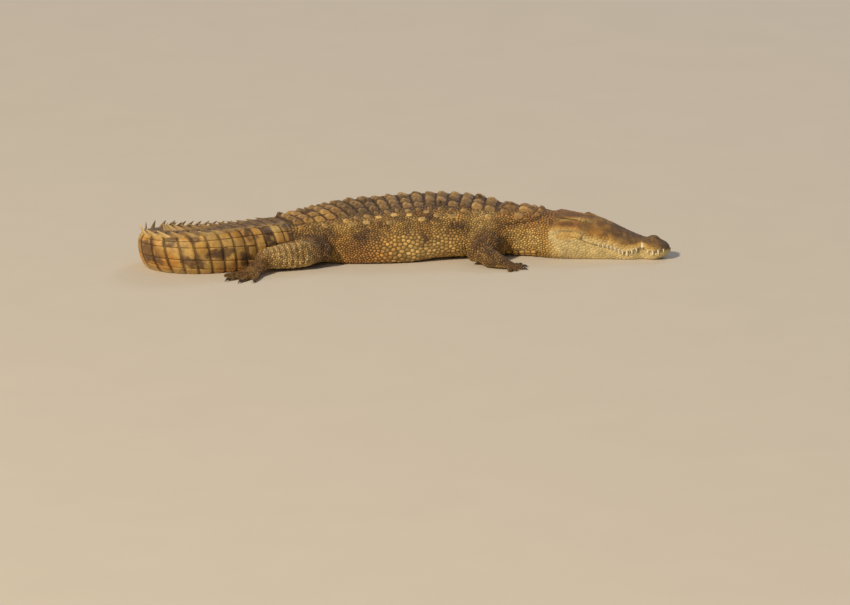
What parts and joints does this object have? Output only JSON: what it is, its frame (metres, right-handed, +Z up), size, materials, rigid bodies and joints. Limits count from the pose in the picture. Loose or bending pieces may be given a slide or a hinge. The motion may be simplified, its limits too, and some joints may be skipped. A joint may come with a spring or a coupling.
{
  "type": "crocodile figure",
  "caption": "Life-size adult marsh crocodile at rest on its belly, mouth shut, legs folded beside it and tail curled round behind, as a still museum model.",
  "frame": {"origin": "on the floor under the middle of the belly, on the underside of the trunk", "axes": "+X towards the head, +Y towards the animal's left side, +Z up, away from the floor"},
  "size_m": [2.282, 1.0493, 0.2386],
  "materials": {
    "skin": "dry scaly hide, olive brown on the back and ochre on the flanks, with dark blotches and bands",
    "jaw": "cream lower jaw skin, fine cracked scales",
    "limb": "dark brown, finely scaled",
    "claw": "dull dark horn",
    "eye": "wet, olive gold with a slit pupil"
  },
  "bodies": {
    "root": {"head": "skin", "lower_jaw": "jaw", "eye_right": "eye", "eye_left": "eye", "neck": "skin", "trunk": "skin", "tail_base": "skin", "tail_middle": "skin", "tail_bend": "skin", "tail_end": "skin", "tail_tip": "skin", "foreleg_right_upper_arm": "limb", "foreleg_right_forearm": "limb", "foreleg_right_hand": "limb", "claw_foreleg_right_1": "claw", "claw_foreleg_right_2": "claw", "claw_foreleg_right_3": "claw", "foreleg_left_upper_arm": "limb", "foreleg_left_forearm": "limb", "foreleg_left_hand": "limb", "claw_foreleg_left_1": "claw", "claw_foreleg_left_2": "claw", "claw_foreleg_left_3": "claw", "hindleg_right_thigh": "limb", "hindleg_right_shank": "limb", "hindleg_right_foot": "limb", "claw_hindleg_right_1": "claw", "claw_hindleg_right_2": "claw", "claw_hindleg_right_3": "claw", "hindleg_left_thigh": "limb", "hindleg_left_shank": "limb", "hindleg_left_foot": "limb", "claw_hindleg_left_1": "claw", "claw_hindleg_left_2": "claw", "claw_hindleg_left_3": "claw"}
  },
  "joints": []
}
